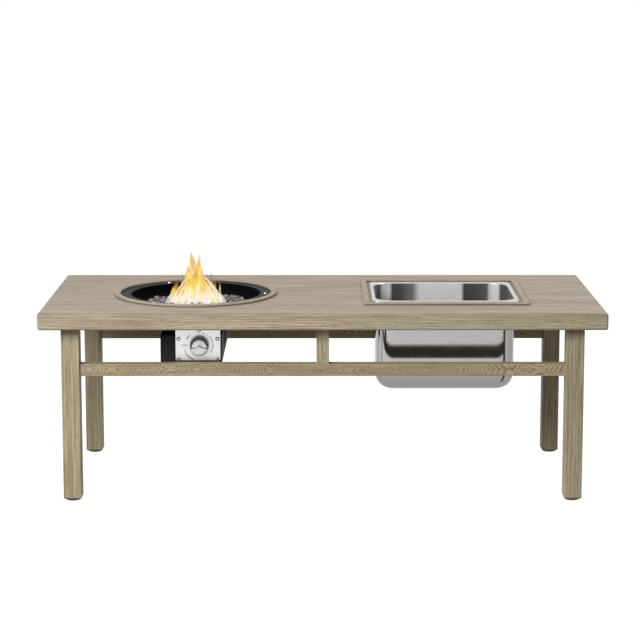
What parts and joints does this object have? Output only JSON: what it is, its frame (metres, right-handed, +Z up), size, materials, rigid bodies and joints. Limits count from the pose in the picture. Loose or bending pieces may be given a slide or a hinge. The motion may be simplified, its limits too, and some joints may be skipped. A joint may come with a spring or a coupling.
{
  "type": "fire pit table",
  "caption": "Low wooden fire pit table: a slab top on square legs with a round gas fire bowl at one end and a lift-out steel ice bucket at the other.",
  "frame": {"origin": "on the floor, under the middle of the table top", "axes": "+X along the table towards the ice bucket, -Y towards the front with the control knob, +Z up"},
  "size_m": [1.524, 0.66, 0.644],
  "materials": {
    "driftwood": "weathered grey-beige wood, clear satin lacquer",
    "foot_plastic": "matte black",
    "zinc_steel": "zinc plated",
    "bright_screws": "bright plated",
    "black_steel": "heat-proof black paint, satin",
    "gasket_fibre": "heat-proof fibre",
    "burner_steel": "heat-tinted stainless",
    "valve_brass": "turned",
    "tube_aluminium": "drawn",
    "lava_rock": "rough and porous, dark grey",
    "flame_glow": "clear glowing flame",
    "brushed_stainless": "fine horizontal brushing",
    "valve_aluminium": "die cast",
    "spring_steel": "drawn wire",
    "knob_chrome": "satin chrome",
    "electrode_ceramic": "white, unglazed",
    "igniter_plastic": "matte black",
    "lead_rubber": "red silicone sleeve",
    "polished_stainless": "polished"
  },
  "bodies": {
    "table": {"deck_panel": "driftwood", "front_edge_board": "driftwood", "back_edge_board": "driftwood", "left_edge_board": "driftwood", "right_edge_board": "driftwood", "left_batten": "driftwood", "right_batten": "driftwood", "front_left_leg": "driftwood", "front_right_leg": "driftwood", "back_left_leg": "driftwood", "back_right_leg": "driftwood", "front_stretcher": "driftwood", "back_stretcher": "driftwood", "front_centre_post": "driftwood", "back_centre_post": "driftwood", "stretcher_dowels": "driftwood", "fire_ring_trim": "driftwood", "bucket_trim_frame": "driftwood", "foot_pads": "foot_plastic", "leg_brackets": "zinc_steel", "bracket_screws": "bright_screws", "post_screws": "bright_screws", "fire_bowl": "black_steel", "bowl_gasket": "gasket_fibre", "bowl_flange_screws": "bright_screws", "tapered_underbody": "black_steel", "underbody_screws": "bright_screws", "burner": "burner_steel", "burner_lock_nut": "burner_steel", "air_mixer_tube": "zinc_steel", "gas_jet": "valve_brass", "gas_tube": "tube_aluminium", "lava_rocks": "lava_rock", "flame": "flame_glow", "faceplate": "brushed_stainless", "faceplate_screws": "bright_screws", "faceplate_tab_screws": "bright_screws", "control_box": "black_steel", "box_hangers": "black_steel", "valve_plate": "zinc_steel", "gas_valve": "valve_aluminium", "gas_inlet_fitting": "valve_brass", "stem_spring": "spring_steel", "igniter_electrode": "electrode_ceramic", "igniter_module": "igniter_plastic", "ignition_lead": "lead_rubber"},
    "knob_push": {"thrust_collar": "valve_brass"},
    "knob": {"control_knob": "knob_chrome", "valve_stem": "valve_brass"},
    "bucket": {"ice_bucket": "polished_stainless"}
  },
  "joints": [
    {"name": "knob_press", "type": "slide", "parent": "table", "child": "knob_push", "axis": [0, 1, 0], "range_m": [0, 0.003], "stiffness_N_per_m": 600, "springref_m": -0.001, "deforming": ["stem_spring"]},
    {"name": "knob_turn", "type": "hinge", "parent": "knob_push", "child": "knob", "pos_m": [-0.3345, -0.25, 0.4216], "axis": [0, -1, 0], "range_deg": [0, 180]},
    {"name": "bucket_lift", "type": "slide", "parent": "table", "child": "bucket", "axis": [0, 0, 1], "range_m": [0, 0.26]}
  ]
}
